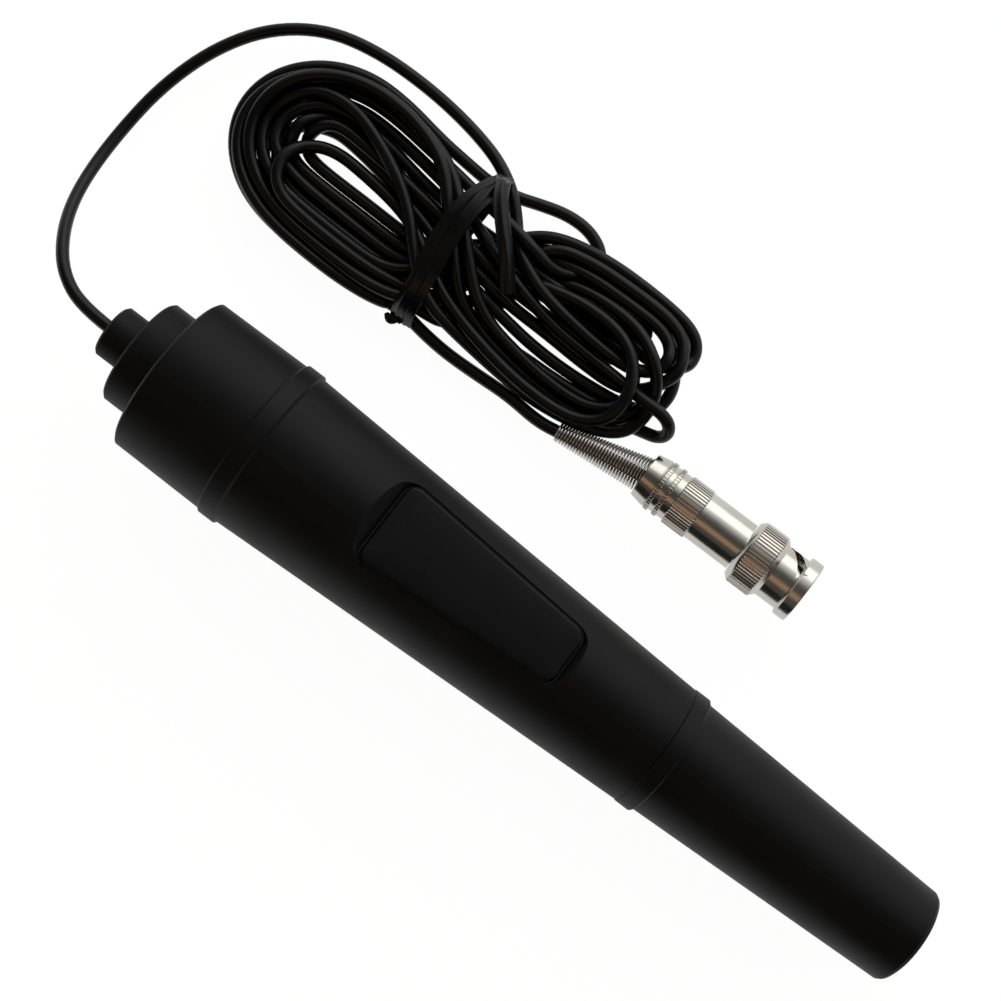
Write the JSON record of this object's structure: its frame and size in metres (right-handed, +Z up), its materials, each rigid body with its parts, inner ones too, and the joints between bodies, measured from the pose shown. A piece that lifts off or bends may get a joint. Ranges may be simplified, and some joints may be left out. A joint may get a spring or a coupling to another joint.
{
  "type": "ph electrode",
  "caption": "Capped near-black handheld pH probe with a wound thin cable, twist tie and a nickel-plated bayonet plug with a spring strain relief",
  "frame": {"origin": "on the surface it lies on, under the middle of the capped probe's own length and width (the free cable, the hank, the tie and the plug are not counted)", "axes": "+X along the probe from its cable end to its cap end, +Z up from the surface, +Y towards the hank of cable"},
  "size_m": [0.2287, 0.0981, 0.0365],
  "materials": {
    "body_black": "satin",
    "pad_gloss": "gloss",
    "cable_black": "satin",
    "tie_plastic": "gloss",
    "seal_rubber": "matte",
    "tube_plastic": "satin",
    "stem_glass": "gloss",
    "junction_white": "matte",
    "insulation_white": "satin",
    "wire_metal": "brushed",
    "sponge_yellow": "matte",
    "plug_nickel": "polished",
    "spring_steel": "polished",
    "contact_brass": "polished"
  },
  "bodies": {
    "probe": {"rear_cap": "body_black", "cable_bush": "body_black", "cable_end": "cable_black", "cable_stop": "wire_metal", "handle_body": "body_black", "grip_pad": "pad_gloss", "rear_ring": "seal_rubber", "cap_ring": "seal_rubber", "gland_nut": "body_black", "electrode_seal": "seal_rubber", "electrode_tube": "tube_plastic", "electrode_head": "tube_plastic", "glass_stem": "stem_glass", "guard_cage": "tube_plastic", "reference_junction": "junction_white", "measuring_wire": "wire_metal", "reference_wire": "wire_metal", "core_lead": "insulation_white", "shield_lead": "cable_black", "shrink_sleeves": "cable_black", "back_nut": "plug_nickel", "plug_barrel": "plug_nickel", "contact_sleeve": "contact_brass", "front_insulator": "insulation_white", "rear_bead": "insulation_white", "centre_pin": "contact_brass", "front_gasket": "seal_rubber", "wave_washer": "spring_steel", "retaining_ring": "spring_steel", "braid_clamp": "plug_nickel", "spring_relief": "spring_steel", "plug_cable": "cable_black", "cable_lead": "cable_black", "cable_tail": "cable_black", "cable_hank": "cable_black", "twist_tie": "tie_plastic"},
    "cap": {"storage_cap": "body_black", "wetting_sponge": "sponge_yellow"},
    "slider": {"thrust_washer": "spring_steel"},
    "coupling": {"coupling_ring": "plug_nickel"}
  },
  "joints": [
    {"name": "cap_pull", "type": "slide", "parent": "probe", "child": "cap", "axis": [0.9989, 0, -0.0458], "range_m": [0, 0.06]},
    {"name": "coupling_slide", "type": "slide", "parent": "probe", "child": "slider", "axis": [0.9975, 0, 0.0703], "range_m": [0, 0.0008], "stiffness_N_per_m": 4000, "deforming": ["wave_washer"]},
    {"name": "coupling_turn", "type": "hinge", "parent": "slider", "child": "coupling", "pos_m": [0.03432, 0.0419, 0.0077], "axis": [0.9975, 0, 0.0703], "continuous": true}
  ]
}
